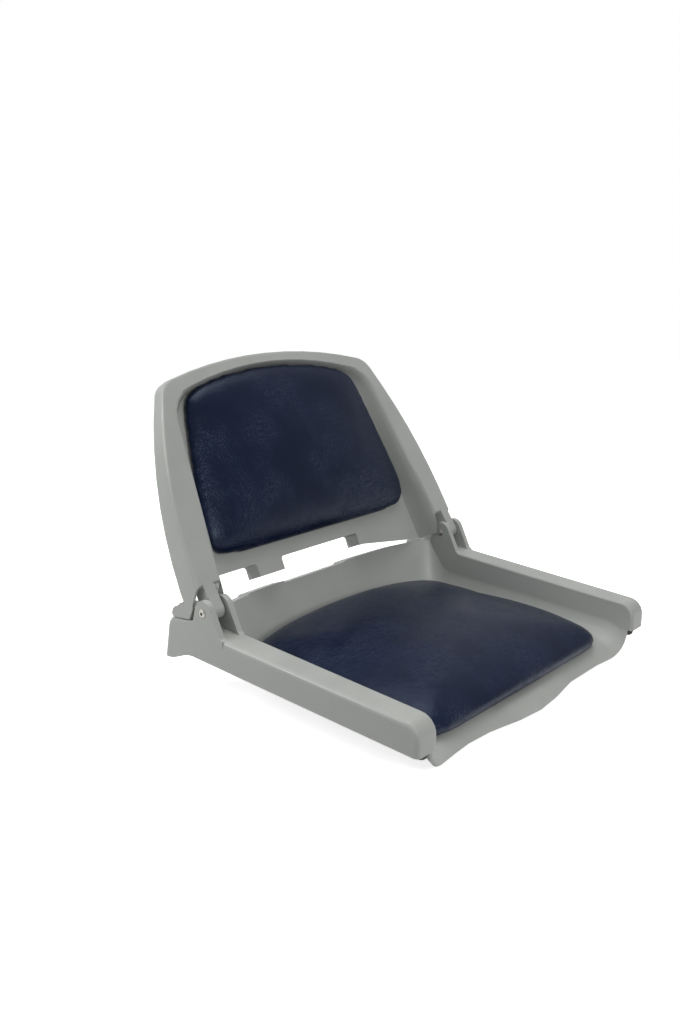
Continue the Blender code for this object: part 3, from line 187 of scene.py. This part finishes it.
def pick(obj):
    """Make one object the only selected and active one."""
    bpy.ops.object.select_all(action="DESELECT")
    obj.select_set(True)
    bpy.context.view_layer.objects.active = obj


def edit_all(obj, step, **settings):
    """Run one edit-mode step on the whole mesh of an object."""
    pick(obj)
    bpy.ops.object.mode_set(mode="EDIT")
    bpy.ops.mesh.select_all(action="SELECT")
    step(**settings)
    bpy.ops.object.mode_set(mode="OBJECT")


def apply_modifiers(obj):
    pick(obj)
    for modifier in list(obj.modifiers):
        bpy.ops.object.modifier_apply(modifier=modifier.name)


def paint(obj, finish):
    """Give an object one finish in place of what it had."""
    obj.data.materials.clear()
    obj.data.materials.append(finish)


def copy_of(node, name):
    """A copy of a CAD node's mesh, its loose triangles joined."""
    obj = bpy.data.objects.new(name, frame["nodes"][node].data.copy())
    bpy.context.scene.collection.objects.link(obj)
    obj.data.name = name
    edit_all(obj, bpy.ops.mesh.remove_doubles, threshold=WELD)
    return obj


# Shader nodes


def new_group(name, inputs, outputs):
    """An empty shader node group with named number inputs and outputs."""
    group = bpy.data.node_groups.new(name, "ShaderNodeTree")
    for label, value in inputs.items():
        socket = group.interface.new_socket(
            name=label, in_out="INPUT", socket_type="NodeSocketFloat")
        socket.default_value = value
    for label in outputs:
        group.interface.new_socket(name=label, in_out="OUTPUT", socket_type="NodeSocketFloat")
    start = group.nodes.new("NodeGroupInput")
    end = group.nodes.new("NodeGroupOutput")
    return group, start, end


def feed(tree, socket, value):
    """Set a socket to a value, or link another node's output to it."""
    if isinstance(value, bpy.types.NodeSocket):
        tree.links.new(value, socket)
    else:
        socket.default_value = value


def add_node(tree, kind, inputs=(), **settings):
    """A node with its settings, whose inputs are values or other nodes' outputs."""
    node = tree.nodes.new(kind)
    for key, value in settings.items():
        setattr(node, key, value)
    for label, value in dict(inputs).items():
        feed(tree, node.inputs[label], value)
    return node


def object_place(tree):
    """Where a point lies on its object, in metres."""
    return add_node(tree, "ShaderNodeTexCoord").outputs["Object"]


def noise(tree, place, scale, detail, **more):
    inputs = {"Vector": place, "Scale": scale, "Detail": detail, **more}
    return add_node(tree, "ShaderNodeTexNoise", inputs)


def cell_edges(tree, place, scale):
    """The distance from the edges of a network of cells."""
    inputs = {"Vector": place, "Scale": scale}
    return add_node(tree, "ShaderNodeTexVoronoi", inputs,
                    feature="DISTANCE_TO_EDGE").outputs["Distance"]


def stretched(tree, place, **how):
    """The place turned and scaled, which draws a pattern out along an axis."""
    return add_node(tree, "ShaderNodeMapping", {"Vector": place, **how}).outputs["Vector"]


def math_node(tree, operation, first, second):
    node = add_node(tree, "ShaderNodeMath", {0: first, 1: second}, operation=operation)
    return node.outputs["Value"]


def spread(tree, value, low, high):
    """Stretch a value so that low becomes 0 and high becomes 1."""
    inputs = {"Value": value, "From Min": low, "From Max": high}
    return add_node(tree, "ShaderNodeMapRange", inputs, clamp=True).outputs["Result"]


def between(tree, value, low, high):
    """Turn a value from 0 to 1 into one from low to high."""
    inputs = {"Value": value, "To Min": low, "To Max": high}
    return add_node(tree, "ShaderNodeMapRange", inputs).outputs["Result"]


def blend_colours(tree, mask, first, second):
    """The first colour where the mask is 0 and the second where it is 1."""
    node = tree.nodes.new("ShaderNodeMix")
    node.data_type = "RGBA"
    factor, colour_a, colour_b = node.inputs[0], node.inputs[6], node.inputs[7]
    tree.links.new(mask, factor)
    for socket, colour in ((colour_a, first), (colour_b, second)):
        feed(tree, socket, (*colour, 1.0) if isinstance(colour, tuple) else colour)
    return node.outputs[2]


def shade(colour, share):
    """A colour made darker or paler by a share."""
    return tuple(value * share for value in colour)


# Patterns shared by the finishes


def make_moulded_texture():
    """The fine stipple of a moulded plastic face, with slow mottling and a few faint scuffs."""
    group, start, end = new_group(
        "moulded_texture", {"Stipple Scale": GREY_STIPPLE, "Mottle Scale": GREY_MOTTLE},
        ("Height", "Mottle", "Scuff"))
    place = object_place(group)
    stipple = noise(group, place, start.outputs["Stipple Scale"], detail=2.0)
    mottle = noise(group, place, start.outputs["Mottle Scale"], detail=4.0)
    drawn_out = stretched(group, place, Rotation=(0.5, 0.2, 0.7), Scale=(1.0, 14.0, 5.0))
    marks = noise(group, drawn_out, scale=26.0, detail=3.0)
    scuff = spread(group, marks.outputs["Fac"], low=0.68, high=0.76)
    patches = spread(group, mottle.outputs["Fac"], low=0.35, high=0.65)
    group.links.new(stipple.outputs["Fac"], end.inputs["Height"])
    group.links.new(patches, end.inputs["Mottle"])
    group.links.new(scuff, end.inputs["Scuff"])
    return group


def make_settled_dust():
    """A mask of the faint dust that settles on faces looking up."""
    group, start, end = new_group("settled_dust", {"Amount": GREY_DUST}, ("Mask",))
    normal = add_node(group, "ShaderNodeNewGeometry").outputs["Normal"]
    up = add_node(group, "ShaderNodeSeparateXYZ", {"Vector": normal}).outputs["Z"]
    clouds = noise(group, object_place(group), scale=30.0, detail=5.0)
    patches = spread(group, clouds.outputs["Fac"], low=0.40, high=0.70)
    mask = math_node(group, "MULTIPLY", spread(group, up, low=0.2, high=1.0), patches)
    mask = math_node(group, "MULTIPLY", mask, start.outputs["Amount"])
    group.links.new(mask, end.inputs["Mask"])
    return group


def make_vinyl_grain():
    """Pebbled vinyl grain crossed by patches of fine creases."""
    group, start, end = new_group(
        "vinyl_grain", {"Grain Scale": VINYL_PEBBLES, "Crease Scale": VINYL_CREASES},
        ("Height", "Crease", "Mottle"))
    place = object_place(group)
    warp = noise(group, place, scale=60.0, detail=2.0)
    shift = add_node(group, "ShaderNodeVectorMath",
                     {0: warp.outputs["Color"], 1: (GRAIN_WARP, GRAIN_WARP, GRAIN_WARP)},
                     operation="MULTIPLY")
    bent = add_node(group, "ShaderNodeVectorMath", {0: place, 1: shift.outputs["Vector"]},
                    operation="ADD").outputs["Vector"]
    cells = cell_edges(group, bent, start.outputs["Grain Scale"])
    pebble = spread(group, cells, low=0.0, high=PEBBLE_FLANK)
    creases = []
    for turn, stretch, finer in CREASE_NETS:
        turned = stretched(group, bent, Rotation=turn, Scale=stretch)
        scale = math_node(group, "MULTIPLY", start.outputs["Crease Scale"], finer)
        edges = spread(group, cell_edges(group, turned, scale), low=0.0, high=CREASE_WIDTH)
        creases.append(math_node(group, "SUBTRACT", 1.0, edges))
    crease = math_node(group, "MAXIMUM", *creases)
    patch = noise(group, place, scale=17.0, detail=2.0)
    where = spread(group, patch.outputs["Fac"], low=0.38, high=0.66)
    crease = math_node(group, "MULTIPLY", crease, where)
    raised = math_node(group, "MULTIPLY", pebble, PEBBLE_HEIGHT)
    group.links.new(math_node(group, "SUBTRACT", raised, crease), end.inputs["Height"])
    group.links.new(crease, end.inputs["Crease"])
    mottle = spread(group, patch.outputs["Fac"], low=0.2, high=0.8)
    group.links.new(mottle, end.inputs["Mottle"])
    return group


# Finishes


def new_finish(name):
    """An empty material with its Principled shader."""
    material = bpy.data.materials.new(name)
    material.use_nodes = True
    return material, material.node_tree, material.node_tree.nodes["Principled BSDF"]


def use_group(tree, group, inputs):
    return add_node(tree, "ShaderNodeGroup", inputs, node_tree=group).outputs


def add_bump(tree, shader, height, distance, strength=RELIEF_STRENGTH):
    bump = add_node(tree, "ShaderNodeBump",
                    {"Height": height, "Distance": distance, "Strength": strength})
    tree.links.new(bump.outputs["Normal"], shader.inputs["Normal"])


def make_moulded_grey(texture, dust):
    """Moulded plastic: a little mottled, faintly scuffed and dusty on top."""
    material, tree, shader = new_finish("moulded_grey_plastic")
    skin = use_group(tree, texture, {"Stipple Scale": GREY_STIPPLE, "Mottle Scale": GREY_MOTTLE})
    settled = use_group(tree, dust, {"Amount": GREY_DUST})
    colour = blend_colours(tree, skin["Mottle"], shade(GREY, GREY_SHADE), GREY)
    scuffs = math_node(tree, "MULTIPLY", skin["Scuff"], SCUFFING)
    colour = blend_colours(tree, scuffs, colour, GREY_DUSTY)
    colour = blend_colours(tree, settled["Mask"], colour, GREY_DUSTY)
    tree.links.new(colour, shader.inputs["Base Color"])
    tree.links.new(between(tree, skin["Mottle"], *GREY_ROUGHNESS), shader.inputs["Roughness"])
    add_bump(tree, shader, skin["Height"], GREY_RELIEF)
    return material


def make_navy_vinyl(grain):
    """Marine vinyl: paler in slow patches, and paler in its creases as a painted highlight."""
    material, tree, shader = new_finish("navy_marine_vinyl")
    skin = use_group(tree, grain, {"Grain Scale": VINYL_PEBBLES, "Crease Scale": VINYL_CREASES})
    patches = math_node(tree, "MULTIPLY", skin["Mottle"], VINYL_MOTTLING)
    # Painted highlight: the creases are paled towards NAVY_PALE, standing in for the sheen along
    # them
    creases = math_node(tree, "MULTIPLY", skin["Crease"], VINYL_CREASE_PAINTED_HIGHLIGHT)
    colour = blend_colours(tree, patches, NAVY, NAVY_PALE)
    colour = blend_colours(tree, creases, colour, NAVY_PALE)
    tree.links.new(colour, shader.inputs["Base Color"])
    tree.links.new(between(tree, skin["Mottle"], *VINYL_ROUGHNESS), shader.inputs["Roughness"])
    shader.inputs["Specular Tint"].default_value = (*VINYL_SHEEN, 1.0)
    shader.inputs["Specular IOR Level"].default_value = VINYL_SPECULAR
    add_bump(tree, shader, skin["Height"], VINYL_RELIEF, VINYL_STRENGTH)
    return material


def make_plain_metal(name, colour, roughness):
    """A turned metal part with fine machining marks and small stains."""
    material, tree, shader = new_finish(name)
    place = object_place(tree)
    stains = noise(tree, place, scale=240.0, detail=4.0).outputs["Fac"]
    marks = noise(tree, place, scale=2600.0, detail=1.0).outputs["Fac"]
    stained = spread(tree, stains, low=0.35, high=0.7)
    colour = blend_colours(tree, stained, colour, shade(colour, METAL_SHADE))
    tree.links.new(colour, shader.inputs["Base Color"])
    tree.links.new(between(tree, stains, *roughness), shader.inputs["Roughness"])
    shader.inputs["Metallic"].default_value = 1.0
    add_bump(tree, shader, marks, METAL_RELIEF)
    return material


def make_rubber(dust):
    """Black rubber with a paler bloom."""
    material, tree, shader = new_finish("bumper_rubber")
    bloom = noise(tree, object_place(tree), scale=160.0, detail=5.0).outputs["Fac"]
    settled = use_group(tree, dust, {"Amount": RUBBER_DUST})
    bloomed = spread(tree, bloom, low=0.4, high=0.75)
    colour = blend_colours(tree, bloomed, RUBBER, shade(RUBBER, RUBBER_SHADE))
    colour = blend_colours(tree, settled["Mask"], colour, GREY_DUSTY)
    tree.links.new(colour, shader.inputs["Base Color"])
    shader.inputs["Roughness"].default_value = RUBBER_ROUGHNESS
    add_bump(tree, shader, bloom, RUBBER_RELIEF)
    return material


def make_nylon(texture):
    material, tree, shader = new_finish("hinge_washer_nylon")
    skin = use_group(tree, texture, {"Stipple Scale": NYLON_STIPPLE, "Mottle Scale": NYLON_MOTTLE})
    colour = blend_colours(tree, skin["Mottle"], shade(NYLON, NYLON_SHADE), NYLON)
    tree.links.new(colour, shader.inputs["Base Color"])
    shader.inputs["Roughness"].default_value = NYLON_ROUGHNESS
    add_bump(tree, shader, skin["Height"], NYLON_RELIEF)
    return material


def make_birch_ply():
    """The pads' boards: long grain across the seat, with darker lines."""
    material, tree, shader = new_finish("birch_plywood")
    along = stretched(tree, object_place(tree), Scale=(1.0, 16.0, 16.0))
    grain = noise(tree, along, scale=22.0, detail=6.0, Distortion=0.6).outputs["Fac"]
    colour = blend_colours(tree, grain, shade(BIRCH, BIRCH_SHADE), BIRCH)
    tree.links.new(colour, shader.inputs["Base Color"])
    shader.inputs["Roughness"].default_value = BIRCH_ROUGHNESS
    add_bump(tree, shader, grain, BIRCH_RELIEF)
    return material


def repaint(finishes):
    """Give every CAD node its finish."""
    by_slot = {entry["node"]: entry["material_slot"] for entry in frame["record"]["subparts"]}
    for node, obj in frame["nodes"].items():
        paint(obj, finishes[by_slot[node]])


# Mouldings


def make_moulding(name, node, body, finish):
    """A moulded shell with its edges rounded off, in the place of its sharp-edged solid."""
    obj = copy_of(node, name)
    edit_all(obj, bpy.ops.mesh.dissolve_limited, angle_limit=FLAT_ANGLE)
    edges = obj.modifiers.new("Rounded edges", "BEVEL")
    edges.width = EDGE_RADIUS
    edges.segments = EDGE_SEGMENTS
    edges.limit_method = "ANGLE"
    edges.angle_limit = EDGE_ANGLE
    apply_modifiers(obj)
    bpy.ops.object.shade_smooth_by_angle(angle=SMOOTH_ANGLE)
    even = obj.modifiers.new("Even shading", "WEIGHTED_NORMAL")
    even.keep_sharp = True
    apply_modifiers(obj)
    paint(obj, finish)
    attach(obj, body)
    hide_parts(node)


# Cushions


def measure(points, direction):
    """How far points reach along a direction, from the lowest to the highest."""
    reach = [point.dot(direction) for point in points]
    return min(reach), max(reach)


def keep_outer_skin(obj, up):
    """Keep the outer face of a cover that has a thickness, and close it underneath."""
    shape = bmesh.new()
    shape.from_mesh(obj.data)
    low, high = measure([vert.co for vert in shape.verts], up)
    middle = sum((vert.co for vert in shape.verts), Vector()) / len(shape.verts)
    middle += up * (low + (high - low) * CORE_HEIGHT - middle.dot(up))
    inner = []
    for face in shape.faces:
        centre = face.calc_center_median()
        across = centre - middle
        across -= up * across.dot(up)
        core = middle + across * CORE_REACH
        if face.normal.dot(centre - core) <= 0:
            inner.append(face)
    bmesh.ops.delete(shape, geom=inner, context="FACES")
    rim = [edge for edge in shape.edges if edge.is_boundary]
    bmesh.ops.holes_fill(shape, edges=rim, sides=0)
    bmesh.ops.recalc_face_normals(shape, faces=shape.faces)
    shape.to_mesh(obj.data)
    shape.free()
    return low


def refine(obj):
    """Split every face in four on a smooth surface."""
    smooth = obj.modifiers.new("Rounding", "SUBSURF")
    smooth.levels = 1
    apply_modifiers(obj)


def relax(obj, times):
    """Even out the surface a little, as stretched vinyl does."""
    shape = bmesh.new()
    shape.from_mesh(obj.data)
    for _ in range(times):
        bmesh.ops.smooth_vert(shape, verts=shape.verts, factor=EVENING,
                              use_axis_x=True, use_axis_y=True, use_axis_z=True)
    shape.to_mesh(obj.data)
    shape.free()


def grow(obj, up, low):
    """Push the surface outwards, but leave the underside where it rests."""
    edit_all(obj, bpy.ops.transform.shrink_fatten, value=CUSHION_START_GROW)
    for vert in obj.data.vertices:
        below = low - vert.co.dot(up)
        if below > 0:
            vert.co += up * below


def swell(obj, up, low):
    """Blow the cushion up a little with cloth pressure, its underside held."""
    start = [vert.co.copy() for vert in obj.data.vertices]
    under = [vert.index for vert in obj.data.vertices if vert.co.dot(up) < low + UNDERSIDE_HOLD]
    held = obj.vertex_groups.new(name="held_underside")
    held.add(under, 1.0, "REPLACE")
    cloth = obj.modifiers.new("Pressure", "CLOTH")
    cloth.settings.quality = CLOTH_QUALITY
    cloth.settings.mass = CLOTH_MASS
    cloth.settings.tension_stiffness = CLOTH_STRETCH
    cloth.settings.compression_stiffness = CLOTH_STRETCH
    cloth.settings.bending_stiffness = CLOTH_BENDING
    cloth.settings.use_pressure = True
    cloth.settings.uniform_pressure_force = CUSHION_PRESSURE
    cloth.settings.effector_weights.gravity = 0
    cloth.settings.vertex_group_mass = held.name
    cloth.collision_settings.use_collision = False
    cloth.point_cache.frame_start = 1
    cloth.point_cache.frame_end = CUSHION_FRAMES
    for step in range(1, CUSHION_FRAMES + 1):
        bpy.context.scene.frame_set(step)
    apply_modifiers(obj)
    bpy.context.scene.frame_set(1)
    for vert, before in zip(obj.data.vertices, start):
        moved = vert.co - before
        if moved.length > CUSHION_SWELL:
            vert.co = before + moved * (CUSHION_SWELL / moved.length)


def fit_to(obj, points, up, spare):
    """Stretch the cushion so that it fills its cover's place and a little room round it."""
    across = Vector((1, 0, 0))
    side, near_end, far_end = spare
    for direction, less, more in ((across, side, side),
                                  (up.cross(across), near_end, far_end),
                                  (up, 0, 0)):
        low, high = measure(points, direction)
        low, high = low - less, high + more
        start, end = measure([vert.co for vert in obj.data.vertices], direction)
        for vert in obj.data.vertices:
            now = vert.co.dot(direction)
            vert.co += direction * (low + (now - start) * (high - low) / (end - start) - now)


def make_cushion(name, cover, foam, body, up, spare, finish):
    """A full vinyl cushion in the place of a pad's plain cover and foam."""
    obj = copy_of(cover, name)
    place = [vert.co.copy() for vert in obj.data.vertices]
    low = keep_outer_skin(obj, up)
    refine(obj)
    obj.data.remesh_voxel_size = CUSHION_VOXEL
    bpy.ops.object.voxel_remesh()
    relax(obj, EVENED_BEFORE)
    grow(obj, up, low)
    swell(obj, up, low)
    relax(obj, EVENED_AFTER)
    fit_to(obj, place, up, spare)
    refine(obj)
    paint(obj, finish)
    obj.data.shade_smooth()
    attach(obj, body)
    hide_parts(cover, foam)


# Surroundings


def make_floor():
    """A pale floor, white to the camera and plainer in the light that it throws back."""
    bpy.ops.mesh.primitive_plane_add(size=FLOOR_SIZE, location=(0, 0, -FLOOR_DROP))
    floor = bpy.context.active_object
    floor.name = "floor"
    material, tree, shader = new_finish("studio_floor")
    rays = add_node(tree, "ShaderNodeLightPath").outputs
    seen = math_node(tree, "MAXIMUM", rays["Is Camera Ray"], rays["Is Glossy Ray"])
    seen = math_node(tree, "MAXIMUM", seen, rays["Is Transmission Ray"])
    colour = blend_colours(tree, seen, FLOOR_BOUNCE, FLOOR)
    glow = math_node(tree, "MULTIPLY", seen, FLOOR_GLOW)
    tree.links.new(colour, shader.inputs["Base Color"])
    tree.links.new(glow, shader.inputs["Emission Strength"])
    shader.inputs["Emission Color"].default_value = (*WHITE, 1.0)
    shader.inputs["Roughness"].default_value = FLOOR_ROUGHNESS
    shader.inputs["Specular IOR Level"].default_value = 0.0
    floor.data.materials.append(material)


def make_world():
    """A white room: full white behind the object, dimmer in its light and its mirror images."""
    world = bpy.data.worlds.new("studio")
    bpy.context.scene.world = world
    world.use_nodes = True
    tree = world.node_tree
    background = tree.nodes["Background"].inputs
    rays = add_node(tree, "ShaderNodeLightPath").outputs
    seen = math_node(tree, "MAXIMUM", rays["Is Camera Ray"], rays["Is Transmission Ray"])
    unseen = between(tree, rays["Is Glossy Ray"], ROOM_LIGHT, ROOM_MIRRORED)
    background["Color"].default_value = (*WHITE, 1.0)
    tree.links.new(between(tree, seen, unseen, 1.0), background["Strength"])


def add_softbox(name, place, target, size, power, mirrored):
    data = bpy.data.lights.new(name, "AREA")
    data.shape = "SQUARE"
    data.size = size
    data.energy = power
    lamp = bpy.data.objects.new(name, data)
    bpy.context.scene.collection.objects.link(lamp)
    lamp.visible_glossy = mirrored
    lamp.location = place
    lamp.rotation_euler = (Vector(target) - Vector(place)).to_track_quat("-Z", "Y").to_euler()


def make_camera():
    sin_a, cos_a = math.sin(CAMERA_AZIMUTH), math.cos(CAMERA_AZIMUTH)
    sin_e, cos_e = math.sin(CAMERA_ELEVATION), math.cos(CAMERA_ELEVATION)
    back = Vector((sin_a * cos_e, -cos_a * cos_e, sin_e))
    right = Vector((cos_a, sin_a, 0))
    turn = Matrix((right, back.cross(right), back)).transposed().to_4x4()
    data = bpy.data.cameras.new("camera")
    data.lens = CAMERA_LENS
    camera = bpy.data.objects.new("camera", data)
    bpy.context.scene.collection.objects.link(camera)
    camera.matrix_world = Matrix.Translation(CAMERA_PLACE) @ turn
    bpy.context.scene.camera = camera


def main():
    texture = make_moulded_texture()
    dust = make_settled_dust()
    grey = make_moulded_grey(texture, dust)
    vinyl = make_navy_vinyl(make_vinyl_grain())
    repaint({
        "grey_plastic": grey,
        "navy_vinyl": vinyl,
        "foam": vinyl,
        "plywood": make_birch_ply(),
        "steel": make_plain_metal("rivet_steel", STEEL, STEEL_ROUGHNESS),
        "nylon": make_nylon(texture),
        "black_rubber": make_rubber(dust),
        "brass": make_plain_metal("insert_brass", BRASS, BRASS_ROUGHNESS),
    })
    make_moulding("seat_moulding", "seat_shell", "base", grey)
    make_moulding("back_moulding", "back_shell", "backrest", grey)
    make_cushion("seat_cushion", "seat_pad_cover", "seat_pad_foam", "base",
                 SEAT_UP, SEAT_CUSHION_SPARE, vinyl)
    make_cushion("back_cushion", "back_pad_cover", "back_pad_foam", "backrest",
                 PANEL_FORWARD, BACK_CUSHION_SPARE, vinyl)
    make_floor()
    make_world()
    for softbox in SOFTBOXES:
        add_softbox(*softbox)
    make_camera()
    bpy.context.scene.view_settings.view_transform = "Standard"


main()
